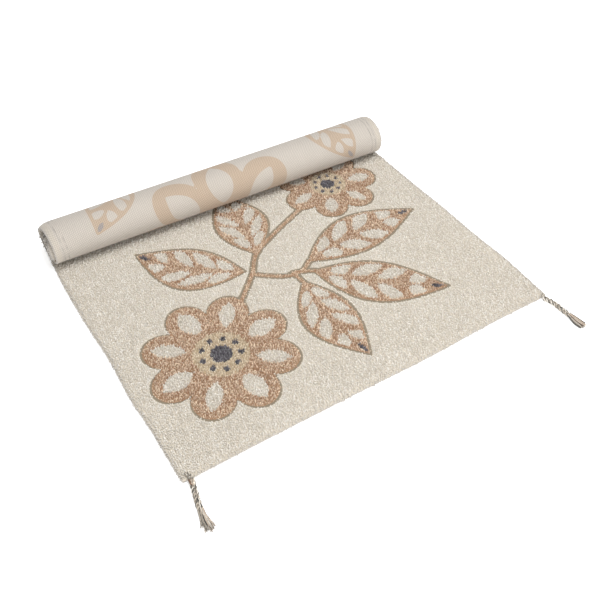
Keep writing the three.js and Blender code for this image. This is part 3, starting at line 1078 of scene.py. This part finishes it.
# The dyes of the plies in each strand of a braid and in the stitches at its corner, the middle one
# first, and the plain yarns over its first turns.
strands = [
    "pale_grey dark_grey cream mid_grey",
    "cream mid_grey pale_grey dark_grey",
    "mid_grey cream dark_grey pale_grey",
]
corner_dyes = ["dark_grey mid_grey pale_grey", "pale_grey dark_grey cream"]
wrapping = [
    (-5.4, "brown"), (-3.6, "brown"), (-1.4, "peach"),
    (0.9, "mid_grey"), (3.0, "peach"), (5.0, "cream"),
]


def braid_yarns(tassel, line):
    """Three strands plaited, each of four plies."""
    yarns = []
    for k, colours in enumerate(strands):
        distance = np.linspace(0, tassel["braid"], 96)
        phase = 2 * np.pi * (distance / braid_period + k / 3)
        over = braid_half_width * np.sin(phase)
        z = braid_middle_z + braid_half_height * np.sin(2 * phase)
        yarns += twisted(line, distance, over, z, ply_offset, 26.0, colours, ply_radius)
    return yarns


def corner_yarns(tassel, line):
    """The stitches on the pile near the corner, and the plain yarns over the braid's first turns."""
    reach, drift = tassel["stitches"]
    yarns = []
    for k in range(3):
        side = k - 1
        end = reach + 3 * ((k + 1) % 2)
        stops = [
            (0.6, 2.9 * side, 6.5),
            (-0.9, 2.9 * side, 11.4),
            (-0.4 * end, 2.7 * side + 0.15 * drift, 12.4),
            (-0.75 * end, 2.9 * side + 0.6 * drift, 12.2),
            (-end, 3.1 * side + drift, 9.5),
        ]
        path = spline_through(stops, steps=9)
        yarns += twisted(line, *path.T, 0.85, 8.0, corner_dyes[abs(side)], 0.9)
    wrap = tassel["bundle"]
    for over, colour in wrapping if wrap else ():
        stops = [
            (-1.5, 0.95 * over, 6.2),
            (0.8, over, 9.6),
            (0.4 * wrap, 0.95 * over, 10.6),
            (0.75 * wrap, 0.75 * over, 9.8),
            (wrap, 0.5 * over, 6.5),
        ]
        path = spline_through(stops, steps=7)
        yarns += twisted(line, *path.T, 0.8, 11.0, colour + " " + colour, 1.1)
    return yarns


def loose_yarns(tassel, line, length):
    """The loose end: locks of thin threads that fan out, rest on the floor and curl at their tips."""
    yarns = []
    start = tassel["braid"] - 9
    unruly = tassel["unruly"]
    for side, colours, threads, short, low in tassel["locks"]:
        colours = colours.split()
        sway = rng.uniform(-1, 1) * 1.2 * unruly
        for k in range(threads):
            angle, far = 2.4 * k, math.sqrt((k + 0.5) / threads)
            u, v = far * math.cos(angle), far * math.sin(angle)
            t = np.linspace(0, 1, 18)
            end = length - short - rng.uniform(0, 4.5) - 3 * side * side * unruly
            distance = start + (end - start) * t
            fan = smooth_step(t, 0.05, tassel["opens"])
            spread = bound_spread + (tassel["spread"] - bound_spread) * fan
            thickness = 1.2 + 1.1 * fan * unruly
            ripple = np.sin(2 * np.pi * (rng.uniform(0.8, 1.5) * t + k / 7))
            wave = sway * np.sin(2.6 * np.pi * t) + 0.5 * ripple * t
            curl = rng.normal(0, 3.2) * unruly * np.clip((t - 0.8) / 0.2, 0, 1) ** 2
            over = side * spread + u * thickness + wave + curl
            high = 5.4 + 1.9 * v - 2.2 * low
            rest = 3.4 + 1.7 * v - 2.0 * low
            lift = 3.0 * rng.uniform(0, 1) * unruly * np.clip((t - 0.75) / 0.25, 0, 1) ** 2
            z = high + (rest - high) * smooth_step(t, 0.05, 0.8) + lift
            points = beside(line, distance, over, np.maximum(z, 0.75))
            dye = dyes[colours[k % len(colours)]]
            yarns.append((points, 0.66 * (1 - 0.4 * t**8), distance / 2.2, dye))
    return yarns


def tassel_piece(tassel, tree, look):
    line = spline_through(tassel["route"], steps=30)
    length = np.linalg.norm(np.diff(line, axis=0), axis=1).sum()
    yarns = braid_yarns(tassel, line) + corner_yarns(tassel, line) + loose_yarns(tassel, line, length)
    points, girths, twists, colours = zip(*yarns)
    counts = [len(run) for run in points]
    starts = np.cumsum([0, *counts])
    runs = [np.arange(a, b - 1) for a, b in zip(starts, starts[1:])]
    first = np.concatenate(runs)
    edges = np.stack([first, first + 1], 1)
    mesh = mesh_of(tassel["name"], np.concatenate(points), edges=edges)
    give(mesh, "girth", np.concatenate(girths) * MM)
    give(mesh, "twist", np.concatenate(twists))
    give(mesh, "dye", np.repeat(colours, counts, axis=0))
    return grown(tassel["name"] + "_yarns", tree, mesh, look)


# The picture


def floor_piece():
    half = 9000.0
    points = [(-half, -half, 0), (half, -half, 0), (half, half, 0), (-half, half, 0)]
    mesh = mesh_of("studio_floor", points, [(0, 1, 2, 3)])
    mesh.materials.append(pale_floor())
    return linked("studio_floor", mesh)


def aimed(name, data, place, target):
    """A camera or a lamp at a place, turned to a target."""
    piece = linked(name, data)
    piece.location = place
    piece.rotation_euler = (Vector(target) - piece.location).to_track_quat("-Z", "Y").to_euler()
    return piece


def set_camera():
    camera = bpy.data.cameras.new("camera")
    camera.lens = 48.22
    camera.sensor_width = 36.0
    camera.clip_end = 50.0
    place, target = (-0.74955, -1.22344, 1.42275), (-0.0239, -0.0657, 0.010)
    bpy.context.scene.camera = aimed("camera", camera, place, target)


def set_light():
    world = bpy.data.worlds.new("studio")
    bpy.context.scene.world = world
    world.use_nodes = True
    background = world.node_tree.nodes["Background"]
    background.inputs["Color"].default_value = (1.0, 1.0, 1.0, 1.0)
    background.inputs["Strength"].default_value = 0.58
    for name, place, power in (
        ("key_light", (0.3, -0.3, 2.6), 52.0),
        ("front_light", (-0.3, -3.0, 0.6), 40.0),
    ):
        light = bpy.data.lights.new(name, "AREA")
        light.shape = "DISK"
        light.size = 1.6
        light.energy = power
        aimed(name, light, place, (0, 0, 0))
    view = bpy.context.scene.view_settings
    view.view_transform = "Standard"
    view.look = "None"


set_camera()
set_light()
floor = floor_piece()

cloth = cloth_piece([woven_back(), pile_floor()])
pile = pile_pieces()
stitches = hem_stitches()
plaited = yarn_tree()
tassel_finish = tassel_yarn()
tassel_pieces = [tassel_piece(tassel, plaited, tassel_finish) for tassel in tassels]

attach(cloth, "root")
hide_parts("rug")
for yarn, piece in pile:
    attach(piece, "root")
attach(stitches, "root")
for tassel, piece in zip(tassels, tassel_pieces):
    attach(piece, "root")
    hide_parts(tassel["name"])
